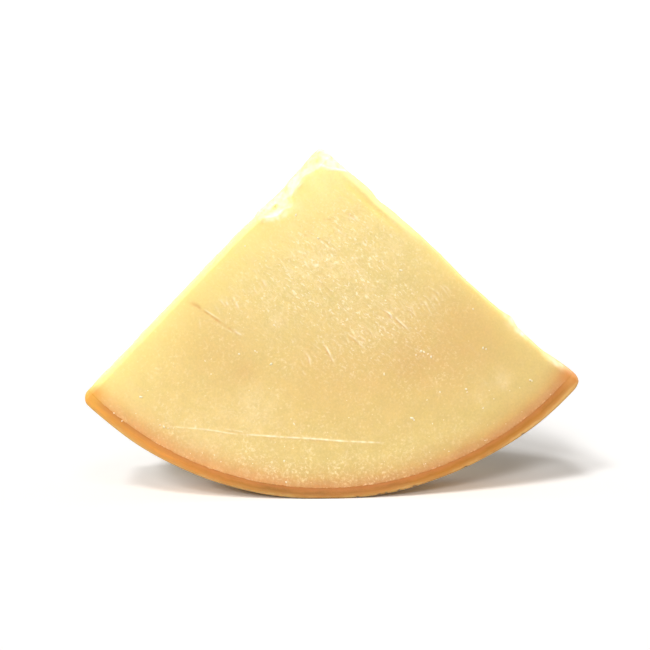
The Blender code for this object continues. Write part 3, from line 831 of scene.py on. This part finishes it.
def crystal_grains(slab, middle):
    """All crystals joined in one mesh: uneven grains that stand a little out of the paste."""
    grain = bmesh.new()
    bmesh.ops.create_icosphere(grain, subdivisions=1, radius=0.5)
    shape = np.array([v.co for v in grain.verts])
    sides = [[v.index for v in face.verts] for face in grain.faces]
    grain.free()
    tree = BVHTree.FromPolygons([v.co for v in slab.data.vertices],
                                [p.vertices for p in slab.data.polygons])
    points, faces = [], []
    for place, normal, width in crystal_spots(tree, middle):
        spin = Matrix.Rotation(RNG.uniform(0, 2 * math.pi), 3, "Z")
        turn = np.array(normal.to_track_quat("Z", "Y").to_matrix() @ spin)
        lumpy = shape * (1 + RNG.uniform(-0.22, 0.22, (len(shape), 1)))
        lumpy = lumpy * width * np.array([RNG.uniform(0.8, 1.35), RNG.uniform(0.6, 0.9), 0.5])
        lumpy[:, 2] += CRYSTAL_STANDS * width
        faces += [[len(points) + v for v in side] for side in sides]
        points += list(lumpy @ turn.T * MM + np.array(place))
    co = np.array(points)
    co[:, 1] = np.clip(co[:, 1], CAD_BOX[0][1], CAD_BOX[1][1])
    mesh = bpy.data.meshes.new("crystal_grains")
    mesh.from_pydata(co.tolist(), [], faces)
    mesh.shade_smooth()
    mesh.materials.append(crystal_material())
    grains = bpy.data.objects.new("crystal_grains", mesh)
    bpy.context.scene.collection.objects.link(grains)
    return grains


# ---------------------------------------------------------------- materials
def linear(code):
    """An sRGB hex colour as linear RGBA."""
    parts = [int(code[i:i + 2], 16) / 255 for i in (1, 3, 5)]
    return (*[c / 12.92 if c <= 0.04045 else ((c + 0.055) / 1.055) ** 2.4 for c in parts], 1.0)


def node(tree, kind, settings, inputs, out=0):
    """Adds a node, sets its properties, links or sets its inputs, and returns one output."""
    made = tree.nodes.new("ShaderNode" + kind)
    for name, value in settings.items():
        if name == "stops":
            made.color_ramp.elements[0].color = linear(value[0][1])
            made.color_ramp.elements[-1].color = linear(value[-1][1])
            for position, code in value[1:-1]:
                made.color_ramp.elements.new(position / value[-1][0]).color = linear(code)
        else:
            setattr(made, name, value)
    for key, value in inputs.items():
        if isinstance(value, bpy.types.NodeSocket):
            tree.links.new(value, made.inputs[key])
        else:
            made.inputs[key].default_value = value
    return made.outputs[out] if made.outputs else made


SUBTRACT = {"operation": "SUBTRACT"}
MULTIPLY = {"operation": "MULTIPLY"}
SCALE_ADD = {"operation": "MULTIPLY_ADD"}
COLOUR = {"data_type": "RGBA"}
MIXED = 2  # the colour output of a colour mix


def per_metre(size):
    """Texture scale for features this many millimetres wide."""
    return 1000.0 / size


def toned(tree, colour, layers):
    """Lays tones over a colour. Each is as strong as its shares multiplied: a share is a number,
    a pattern, or a pattern with the range it is read over and the least and most it gives."""
    for tone, *shares in layers:
        much = 1.0
        for share in shares:
            if isinstance(share, tuple):
                share = node(tree, "MapRange", {}, dict(enumerate(share)))
            much = node(tree, "Math", MULTIPLY, {0: much, 1: share})
        tone = linear(tone) if isinstance(tone, str) else tone
        colour = node(tree, "Mix", COLOUR, {0: much, 6: colour, 7: tone}, MIXED)
    return colour


def new_material(name):
    made = bpy.data.materials.new(name)
    made.use_nodes = True
    made.node_tree.nodes.clear()
    return made, made.node_tree


def rind_distance(tree, place, middle):
    """Millimetres in from the outside of the rind, and the direction out from its centre."""
    centre = ((RIND_CENTRE[0] - middle[0]) * MM, 0.0, (RIND_CENTRE[1] - middle[2]) * MM)
    out = node(tree, "VectorMath", SUBTRACT, {0: place, 1: centre})
    flat = node(tree, "VectorMath", MULTIPLY, {0: out, 1: (1, 0, 1)})
    radius = node(tree, "VectorMath", {"operation": "LENGTH"}, {0: flat}, "Value")
    return node(tree, "Math", SCALE_ADD, {0: radius, 1: -1000.0, 2: RIND_RADIUS}), flat


# Colour of the paste by distance in from the outside of the rind, in millimetres. On the left the
# warm band under the rind is paler. Towards the tip the tones grow paler: partly the paste's own
# tone, partly painted light, the tip painted brighter as if lit more strongly.
PASTE_TONES = ((0.0, "#CC8E56"), (7.4, "#CC925C"), (9.0, "#CC9B66"), (11.0, "#CE9F66"),
               (13.0, "#D2AB6D"), (17.0, "#D4B779"), (24.0, "#D9C182"), (66.0, "#DDC181"),
               (122.0, "#DFC98C"), (170.0, "#EAD494"), (205.0, "#F5EAAE"))
LEFT_PASTE_TONES = ((0.0, "#D9985A"), (7.4, "#D99B5F"), (9.0, "#DAA36B"), (11.0, "#D9A66D"),
                    (13.0, "#D9AC70"), (17.0, "#DEBD82"), (24.0, "#DFC486"), (66.0, "#DDC181"),
                    (122.0, "#DFC98C"), (170.0, "#EAD494"), (205.0, "#F5EAAE"))
# The rounded lower corners, where the tones of rind and paste run together.
LEFT_CORNER = "#E2A548"
RIGHT_CORNER = "#CE8E4C"
# Painted light: the paste is made a little brighter towards the left, where the light falls, and dimmer
# towards the right.
LEFT_PAINTED_LIGHT = "#FFFFF4"
RIGHT_PAINTED_SHADE = "#FAF7EB"
PASTE_DEPTH = 205.0  # where the tones of the paste end
# Patterns of the paste: width of what each draws in millimetres, detail, roughness, distortion.
PASTE_PATTERNS = {
    "wander": (14.0, 3.0, 0.5, 0.0),  # the warm band, which wanders a couple of millimetres
    "blotch": (9.0, 4.0, 0.6, 0.0),  # uneven tone of the cut
    "grain": (1.3, 3.0, 0.65, 0.0),  # curd grain, really 0.3 to 1 mm, coarser so that it shows
    "cloud": (12.0, 3.0, 0.5, 0.0),  # where the bloom is thicker
    "fleck": (2.1, 6.0, 0.72, 0.9),  # cottony flecks of bloom, 1 to 3 mm
    "curd": (1.5, 2.0, 0.6, 0.4),  # pale curd flecks
    "gather": (22.0, 2.0, 0.5, 0.0),  # where there are more of those
}
# The same, drawn out along the right arm, as the blade dragged it.
DRAGGED_PATTERNS = {
    "crease": (3.2, 3.0, 0.5, 1.2),  # wrinkles 3 mm wide
    "scuff": (1.2, 1.0, 0.5, 0.6),  # white flecks about 1 mm wide
}
DRAG_ANGLE = -0.72  # lays them along the right arm
DRAG_STRETCH = (0.45, 1.0, 1.0)
PASTE_SEEN = ("tan", "cream", "bloom", "rough", "groove", "thin", "broken", "pale", "dark",
              "corner", "split")


def paste_material(middle):
    """Aged cow's-milk cheese paste, cut with a wide knife and split at the sides.

    Dense, dry and waxy: pale straw with a faint warm band under the rind, fine white grain, a
    soft sheen, and light that sinks a few millimetres in, which makes thin edges glow. That glow
    is also painted in, as a yellower, brighter tone near the arms.
    """
    material, tree = new_material("aged_cheese_paste")
    place = node(tree, "TexCoord", {}, {}, "Object")
    x = node(tree, "SeparateXYZ", {}, {0: place}, "X")
    rind, _ = rind_distance(tree, place, middle)
    dragged = node(tree, "VectorRotate", {"rotation_type": "Y_AXIS"}, {0: place, "Angle": DRAG_ANGLE})
    dragged = node(tree, "VectorMath", MULTIPLY, {0: dragged, 1: DRAG_STRETCH})
    drawn = {}
    for space, patterns in ((place, PASTE_PATTERNS), (dragged, DRAGGED_PATTERNS)):
        for name, (width, detail, roughness, distortion) in patterns.items():
            drawn[name] = node(tree, "TexNoise", {}, {
                "Vector": space, "Scale": per_metre(width), "Detail": detail,
                "Roughness": roughness, "Distortion": distortion}, "Fac")
    blotch, grain = drawn["blotch"], drawn["grain"]
    seen = {name: node(tree, "Attribute", {"attribute_name": name}, {}, "Fac") for name in PASTE_SEEN}

    # Bands that follow the rind, paler on the left, then painted light: brighter towards the left,
    # where the light falls, and a little dimmer towards the right.
    shifted = node(tree, "Math", SCALE_ADD, {0: drawn["wander"], 1: 5.0, 2: rind})
    along = node(tree, "Math", SCALE_ADD, {0: shifted, 1: 1 / PASTE_DEPTH, 2: -2.5 / PASTE_DEPTH})
    colour = node(tree, "ValToRGB", {"stops": PASTE_TONES}, {0: along}, "Color")
    on_left = node(tree, "ValToRGB", {"stops": LEFT_PASTE_TONES}, {0: along}, "Color")
    colour = toned(tree, colour, ((on_left, (x, -0.01, -0.07)),))
    across = node(tree, "MapRange", {}, {0: x, 1: -0.13, 2: 0.13})
    side = node(tree, "Mix", COLOUR, {0: across, 6: linear(LEFT_PAINTED_LIGHT), 7: linear(RIGHT_PAINTED_SHADE)}, MIXED)
    colour = node(tree, "VectorMath", MULTIPLY, {0: colour, 1: side})

    # Soft patches of tan and cream, then an uneven tone and the grain.
    colour = toned(tree, colour, (("#CDA266", seen["tan"], (blotch, 0.3, 0.7, 0.275, 0.715)),
                                  ("#E9D4A2", seen["cream"], (blotch, 0.3, 0.7, 0.3, 0.78))))
    value = node(tree, "MapRange", {}, {0: blotch, 1: 0.25, 2: 0.75, 3: 0.95, 4: 1.05})
    fine = node(tree, "MapRange", {}, {0: grain, 1: 0.25, 2: 0.75, 3: 0.93, 4: 1.06})
    value = node(tree, "Math", MULTIPLY, {0: value, 1: fine})
    colour = node(tree, "VectorMath", {"operation": "SCALE"}, {0: colour, "Scale": value})

    # Pin-head crystals, too many to model: about one in four cells of 3.8 mm holds a white speck.
    cells = node(tree, "TexVoronoi", {}, {"Vector": place, "Scale": per_metre(3.8)}, "Distance")
    speck = node(tree, "SeparateColor", {}, {0: cells.node.outputs["Color"]}, "Red")
    speck = node(tree, "MapRange", {}, {0: speck, 1: 0.74, 2: 1.0, 3: 0.0, 4: 0.14})
    speck = node(tree, "Math", SUBTRACT, {0: speck, 1: cells})
    crease = node(tree, "Math", SUBTRACT, {0: drawn["crease"], 1: 0.5})
    crease = node(tree, "Math", {"operation": "ABSOLUTE"}, {0: crease})
    flaky = node(tree, "MapRange", {}, {0: blotch, 1: 0.4, 2: 0.6})
    flaky = node(tree, "Mix", COLOUR, {0: flaky, 6: linear("#F6E88C"), 7: linear("#FFF7CC")}, MIXED)
    amber = node(tree, "Mix", COLOUR, {0: across, 6: linear(LEFT_CORNER), 7: linear(RIGHT_CORNER)},
                 MIXED)
    colour = toned(tree, colour, (
        # Cottony cream-white bloom where it gathers, mostly under the rind.
        ("#F8E9BE", (shifted, 9.0, 16.0), seen["bloom"], (drawn["cloud"], 0.34, 0.62, 0.1),
         (drawn["fleck"], 0.5, 0.66), 0.8),
        # Curd flecks all over the cut, fewer towards the right.
        ("#F3E0B0", (drawn["curd"], 0.54, 0.72, 0.0, 0.5), (drawn["gather"], 0.35, 0.65, 0.25, 1.0),
         (x, 0.06, 0.1, 1.0, 0.2)),
        ("#FFF3D0", (speck, 0.0, 0.1, 0.0, 0.5)),
        # Painted highlight on the crests of the wrinkles, and pale scuffs among them.
        ("#F6E6B8", (crease, 0.05, 0.0, 0.0, 0.3), seen["rough"]),
        ("#FFF6DC", (drawn["scuff"], 0.62, 0.69, 0.0, 0.5), seen["rough"]),
        # A thin broken pale line along the rind: painted highlight on the edge of the low step where
        # paste meets rind, broken up into flakes.
        ("#F0C79A", (rind, 8.1, 7.5), (grain, 0.46, 0.6, 0.0, 0.6), (blotch, 0.47, 0.6, 0.1, 1.0)),
        # Butter-yellow in the groove, cream on the lip.
        ("#FFDC74", (seen["groove"], 0.0, 1.2)), ("#FFF3BC", (seen["groove"], 0.0, -0.9)),
        # Painted glow: yellow towards the thin edges, standing in for light through them. Then the
        # chip, the marks of the blade with their painted highlight and shade, and amber corners.
        ("#FFEA92", seen["thin"], 0.8), (flaky, seen["broken"], 0.8),
        ("#FFF6D8", seen["pale"], 0.8), ("#CB8230", seen["dark"], 0.8), (amber, seen["corner"])))

    # Relief: grain everywhere, wrinkles in the rough zones, crumbs 4 mm wide on the split sides.
    crumb = node(tree, "TexVoronoi", {"feature": "SMOOTH_F1"},
                 {"Vector": place, "Scale": per_metre(4.0), "Smoothness": 0.3}, "Distance")
    crumb = node(tree, "Math", MULTIPLY, {0: crumb, 1: seen["split"]})
    folds = node(tree, "Math", {"operation": "MINIMUM"}, {0: crease, 1: 0.12})
    folds = node(tree, "Math", MULTIPLY, {0: folds, 1: seen["rough"]})
    relief = node(tree, "Math", SCALE_ADD, {0: grain, 1: 0.18, 2: crumb})
    relief = node(tree, "Math", SCALE_ADD, {0: folds, 1: -1.7, 2: relief})
    bump = node(tree, "Bump", {}, {"Strength": 0.8, "Distance": 0.0005, "Height": relief})
    gloss = node(tree, "MapRange", {}, {0: blotch, 1: 0.3, 2: 0.7, 3: 0.4, 4: 0.52})
    shader = node(tree, "BsdfPrincipled", {}, {
        "Base Color": colour, "Roughness": gloss, "IOR": 1.46, "Normal": bump,
        "Subsurface Weight": 0.5, "Subsurface Radius": (1.0, 0.75, 0.3),
        "Subsurface Scale": 0.0055})
    node(tree, "OutputMaterial", {}, {"Surface": shader})
    return material


STREAK_SQUEEZE = 0.1
# Colour of the rind round the arc, by share of the way from the left corner to the right one.
RIND_TONES = ((0.0, "#DC993F"), (0.04, "#DB9740"), (0.17, "#D28B3D"), (0.26, "#C27E36"),
              (0.37, "#A06C2E"), (0.48, "#A16D35"), (0.59, "#AB7034"), (0.70, "#B07127"),
              (0.78, "#B1722A"), (0.86, "#AF7127"), (1.0, "#B27430"))


def rind_material(middle):
    """Hard cheese rind, scraped and rubbed with oil as it aged.

    Amber, close and waxy with a low gloss: browner where it is cut, yellower along its outer
    edge, with thin lines that follow the arc and small dark nicks.
    """
    material, tree = new_material("oiled_cheese_rind")
    place = node(tree, "TexCoord", {}, {}, "Object")
    rind, flat = rind_distance(tree, place, middle)
    x, z = (node(tree, "SeparateXYZ", {}, {0: flat}, axis) for axis in "XZ")
    down = node(tree, "Math", MULTIPLY, {0: z, 1: -1.0})
    angle = node(tree, "Math", {"operation": "ARCTAN2"}, {0: x, 1: down})
    along = node(tree, "MapRange", {}, {0: angle, 1: LEFT_ARM, 2: RIGHT_ARM})
    colour = node(tree, "ValToRGB", {"stops": RIND_TONES}, {0: along}, "Color")

    # Streaks left by the mould and the scraper: really under 1 mm thick, drawn 1.8 mm thick so
    # that they show, ten times as long, in a space that is squeezed along the arc. Patches are
    # 7 mm wide, and pores are drawn 1.6 mm wide so that they show.
    arc = node(tree, "Math", MULTIPLY, {0: angle, 1: RIND_RADIUS * MM * STREAK_SQUEEZE})
    y = node(tree, "SeparateXYZ", {}, {0: place}, "Y")
    deep = node(tree, "Math", MULTIPLY, {0: rind, 1: MM})
    squeezed = node(tree, "CombineXYZ", {}, {0: arc, 1: y, 2: deep})
    streak, patch, pores = (
        node(tree, "TexNoise", {}, {
            "Vector": space, "Scale": per_metre(width), "Detail": 4.0, "Roughness": roughness,
            "Distortion": distortion}, "Fac")
        for space, width, roughness, distortion in (
            (squeezed, 1.8, 0.6, 0.3), (place, 7.0, 0.5, 0.0), (place, 1.6, 0.5, 0.0)))
    for pattern, least, most in ((streak, 0.9, 1.1), (patch, 0.92, 1.08)):
        uneven = node(tree, "MapRange", {}, {0: pattern, 1: 0.3, 2: 0.7, 3: least, 4: most})
        colour = node(tree, "VectorMath", {"operation": "SCALE"}, {0: colour, "Scale": uneven})

    # Paler and yellower towards the outside, rosier where it meets the paste.
    edge = node(tree, "Math", SCALE_ADD, {0: patch, 1: 2.4, 2: rind})
    edge = node(tree, "Math", SCALE_ADD, {0: streak, 1: 2.0, 2: edge})
    dark, broken, corner = (node(tree, "Attribute", {"attribute_name": name}, {}, "Fac")
                            for name in ("dark", "broken", "corner"))
    amber = node(tree, "Mix", COLOUR, {0: along, 6: linear(LEFT_CORNER), 7: linear(RIGHT_CORNER)},
                 MIXED)
    # The dark tone is the nicks, and the painted contact shade along the foot where the rind rests.
    colour = toned(tree, colour, (
        ("#D9A65E", (edge, 5.8, 4.2, 0.0, 0.34)), ("#F2C87E", (edge, 4.2, 2.8, 0.0, 0.55)),
        ("#C27B43", (edge, 6.2, 8.4, 0.0, 0.62)), ("#4A3216", dark, 0.85), ("#E8C186", broken),
        (amber, corner)))

    relief = node(tree, "Math", SCALE_ADD, {0: streak, 1: 0.8, 2: pores})
    bump = node(tree, "Bump", {}, {"Strength": 0.5, "Distance": 0.0004, "Height": relief})
    shader = node(tree, "BsdfPrincipled", {}, {
        "Base Color": colour, "Roughness": 0.42, "IOR": 1.47, "Specular IOR Level": 0.35,
        "Normal": bump, "Subsurface Weight": 0.25, "Subsurface Radius": (1.0, 0.45, 0.15),
        "Subsurface Scale": 0.003})
    node(tree, "OutputMaterial", {}, {"Surface": shader})
    return material


def crystal_material():
    """Tyrosine crystals, grown in the paste as it aged: chalky white, hard, barely shining."""
    material, tree = new_material("tyrosine_crystal")
    place = node(tree, "TexCoord", {}, {}, "Object")
    chalk = node(tree, "TexNoise", {}, {"Vector": place, "Scale": per_metre(0.9)}, "Fac")
    colour = node(tree, "Mix", COLOUR, {0: chalk, 6: linear("#FFF6DC"), 7: linear("#F3E2B4")}, MIXED)
    shader = node(tree, "BsdfPrincipled", {}, {
        "Base Color": colour, "Roughness": 0.55, "IOR": 1.5, "Subsurface Weight": 0.3,
        "Subsurface Radius": (1.0, 0.9, 0.7), "Subsurface Scale": 0.001})
    node(tree, "OutputMaterial", {}, {"Surface": shader})
    return material


# ---------------------------------------------------------------- studio
FLOOR_SIZE = 8.0
FLOOR_WHITE = 0.6
FLOOR_SEEN = 1.24  # to the camera: the photo's board is burnt out to pure white
WORLD_LIGHT = 0.18
WORLD_WHITE = 1.25
WORLD_FRONT = 0.3  # the room on the camera's side, as the cheese mirrors it
WORLD_TINT = "#FFF4E8"
LAMP_DISTANCE = 1.2
# Name, azimuth, elevation, angle across the sky, strength.
SUNS = (("window_low", -15.0, 22.0, 9.0, 1.28), ("window_middle", -27.0, 35.0, 9.0, 1.1),
        ("window_high", -21.0, 46.0, 10.0, 1.0), ("fill", 10.0, 42.0, 14.0, 0.24))
# Strip lights that only the cheese gets: name, azimuth, elevation, size in metres, power.
EDGE_LIGHTS = (("left_edge", -95.0, 40.0, 0.8, 5.5), ("right_edge", 95.0, 45.0, 0.8, 4.5),
               ("top_edge", 180.0, 60.0, 0.8, 5.0), ("left_low", -92.0, 5.0, 0.2, 1.5),
               ("right_low", 92.0, 5.0, 0.2, 2.5))


def white_floor():
    """A matt white board. What light it throws on the cheese is less than what the eye sees."""
    bpy.ops.mesh.primitive_plane_add(size=FLOOR_SIZE, location=(0, 0, 0))
    floor = bpy.context.object
    floor.name = "floor"
    material, tree = new_material("matt_white_board")
    seen = node(tree, "LightPath", {}, {}, "Is Camera Ray")
    white = node(tree, "MapRange", {}, {0: seen, 3: FLOOR_WHITE, 4: FLOOR_SEEN})
    white = node(tree, "CombineXYZ", {}, {0: white, 1: white, 2: white})
    shader = node(tree, "BsdfPrincipled", {}, {
        "Base Color": white, "Roughness": 0.9, "Specular IOR Level": 0.0})
    node(tree, "OutputMaterial", {}, {"Surface": shader})
    floor.data.materials.append(material)


def lamp(name, kind, azimuth, elevation, strength):
    """A lamp that shines on the middle of the cheese from a direction round the photo's view."""
    data = bpy.data.lights.new(name, kind)
    data.energy = strength
    made = bpy.data.objects.new(name, data)
    bpy.context.scene.collection.objects.link(made)
    a, e = math.radians(azimuth), math.radians(elevation)
    back = Vector((math.sin(a) * math.cos(e), -math.cos(a) * math.cos(e), math.sin(e)))
    made.location = Vector((0, 0, MEAN_LENGTH / 2 * MM)) + back * LAMP_DISTANCE
    made.rotation_euler = back.to_track_quat("Z", "Y").to_euler()
    made.visible_camera = False
    return made


def studio(middle, pieces):
    """A white cove: a bright surround, windows at the front left, and strips that light the edges."""
    white_floor()
    world = bpy.data.worlds.new("white_cove")
    bpy.context.scene.world = world
    world.use_nodes = True
    tree = world.node_tree
    tree.nodes.clear()
    direction = node(tree, "TexCoord", {}, {}, "Generated")
    towards = node(tree, "SeparateXYZ", {}, {0: direction}, "Y")
    mirrored = node(tree, "MapRange", {}, {0: towards, 1: -0.2, 2: 0.4, 3: WORLD_FRONT,
                                           4: WORLD_WHITE})
    path = node(tree, "LightPath", {}, {}, "Is Diffuse Ray")
    glossy = path.node.outputs["Is Glossy Ray"]
    strength = node(tree, "MapRange", {}, {0: glossy, 3: WORLD_WHITE, 4: mirrored})
    strength = node(tree, "MapRange", {}, {0: path, 3: strength, 4: WORLD_LIGHT})
    tint = node(tree, "Mix", COLOUR, {0: path, 6: linear("#FFFFFF"), 7: linear(WORLD_TINT)}, MIXED)
    white = node(tree, "Background", {}, {"Color": tint, "Strength": strength})
    node(tree, "OutputWorld", {}, {"Surface": white})

    for name, azimuth, elevation, across, strength in SUNS:
        lamp(name, "SUN", azimuth, elevation, strength).data.angle = math.radians(across)
    lit_pieces = bpy.data.collections.new("lit_by_edge_lights")
    for piece in pieces:
        lit_pieces.objects.link(piece)
    for name, azimuth, elevation, size, power in EDGE_LIGHTS:
        made = lamp(name, "AREA", azimuth, elevation, power)
        made.data.shape = "DISK"
        made.data.size = size
        made.light_linking.receiver_collection = lit_pieces

    place, forward, _, _ = camera_frame()
    camera = bpy.data.cameras.new("camera")
    camera.sensor_width = SENSOR
    camera.lens = FOCAL_PIXELS / PHOTO * SENSOR
    camera.clip_start = 0.01
    made = bpy.data.objects.new("camera", camera)
    bpy.context.scene.collection.objects.link(made)
    made.location = (place - Vector(middle)) * MM
    made.rotation_euler = forward.to_track_quat("-Z", "Y").to_euler()
    bpy.context.scene.camera = made
    bpy.context.scene.view_settings.view_transform = "Standard"


slab, middle = cheese_slab()
grains = crystal_grains(slab, middle)
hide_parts("cheese_wedge")
for piece in (slab, grains):
    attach(piece, "root")
studio(middle, (slab, grains))
